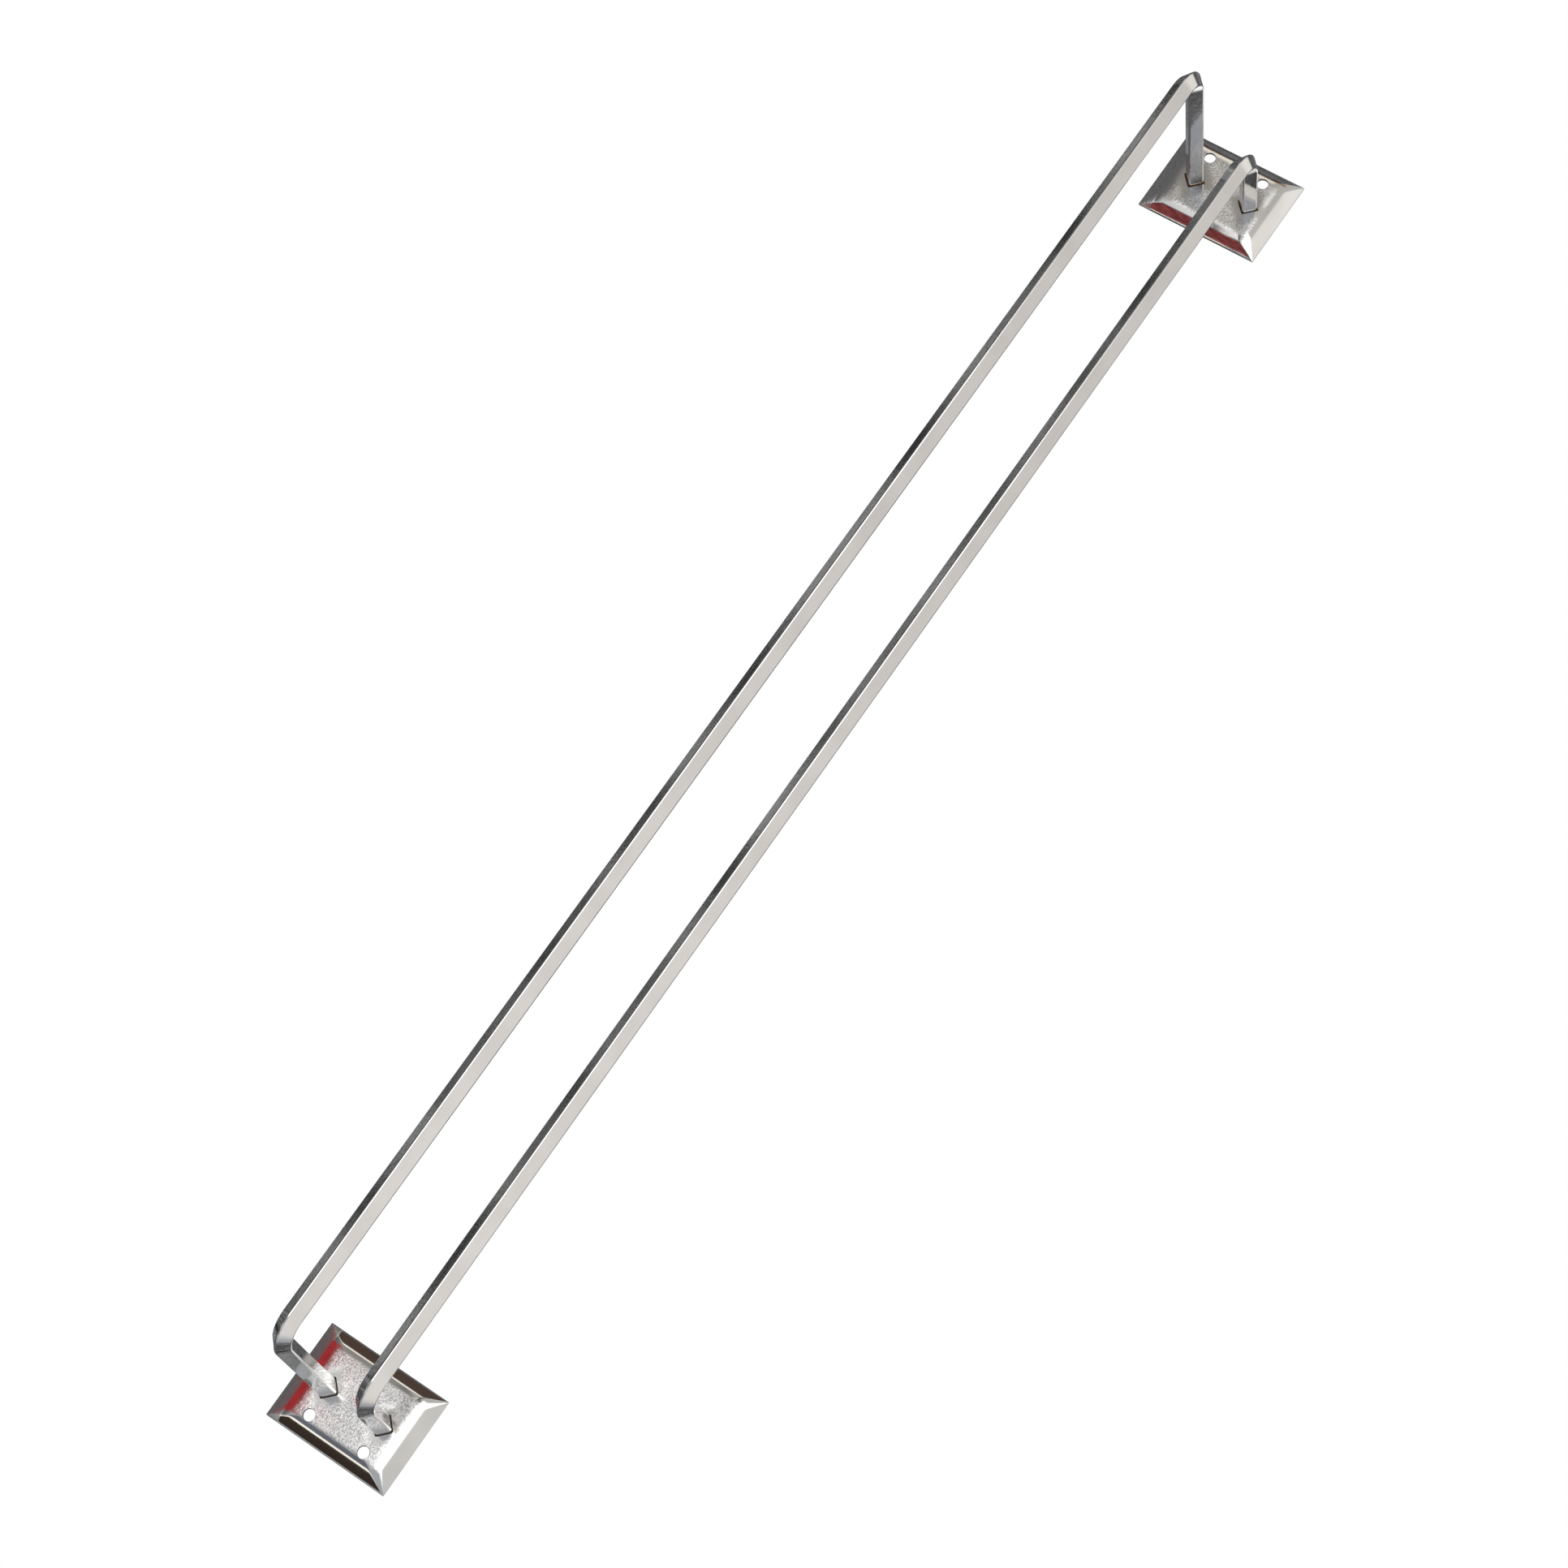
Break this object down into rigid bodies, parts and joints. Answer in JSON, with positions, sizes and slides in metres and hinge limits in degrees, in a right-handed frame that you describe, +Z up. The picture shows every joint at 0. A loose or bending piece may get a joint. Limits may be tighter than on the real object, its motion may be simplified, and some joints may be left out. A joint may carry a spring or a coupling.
{
  "type": "double towel rail",
  "caption": "Wall-mounted double towel rail: an outer and an inner bent square bar on a pair of bevelled screw-on wall plates.",
  "frame": {"origin": "on the wall plane, at the middle of the four wall-screw holes, halfway between the two wall plates", "axes": "+X along the rails to the right as seen from the room, -Y out of the wall into the room, +Z up"},
  "size_m": [0.651, 0.0852, 0.0556],
  "materials": {
    "rail_chrome": "bright chrome plating on square steel bar, lightly worn",
    "plate_chrome": "chrome plating on pressed sheet, satin and slightly mottled on the face, bright on the bevels",
    "screw_steel": "zinc plated steel screws and washers"
  },
  "bodies": {
    "root": {"outer_rail": "rail_chrome", "inner_rail": "rail_chrome", "wall_plate_left": "plate_chrome", "wall_plate_right": "plate_chrome", "outer_leg_screw_left": "screw_steel", "outer_leg_screw_right": "screw_steel", "inner_leg_screw_left": "screw_steel", "inner_leg_screw_right": "screw_steel", "outer_leg_washer_left": "screw_steel", "outer_leg_washer_right": "screw_steel", "inner_leg_washer_left": "screw_steel", "inner_leg_washer_right": "screw_steel"}
  },
  "joints": []
}
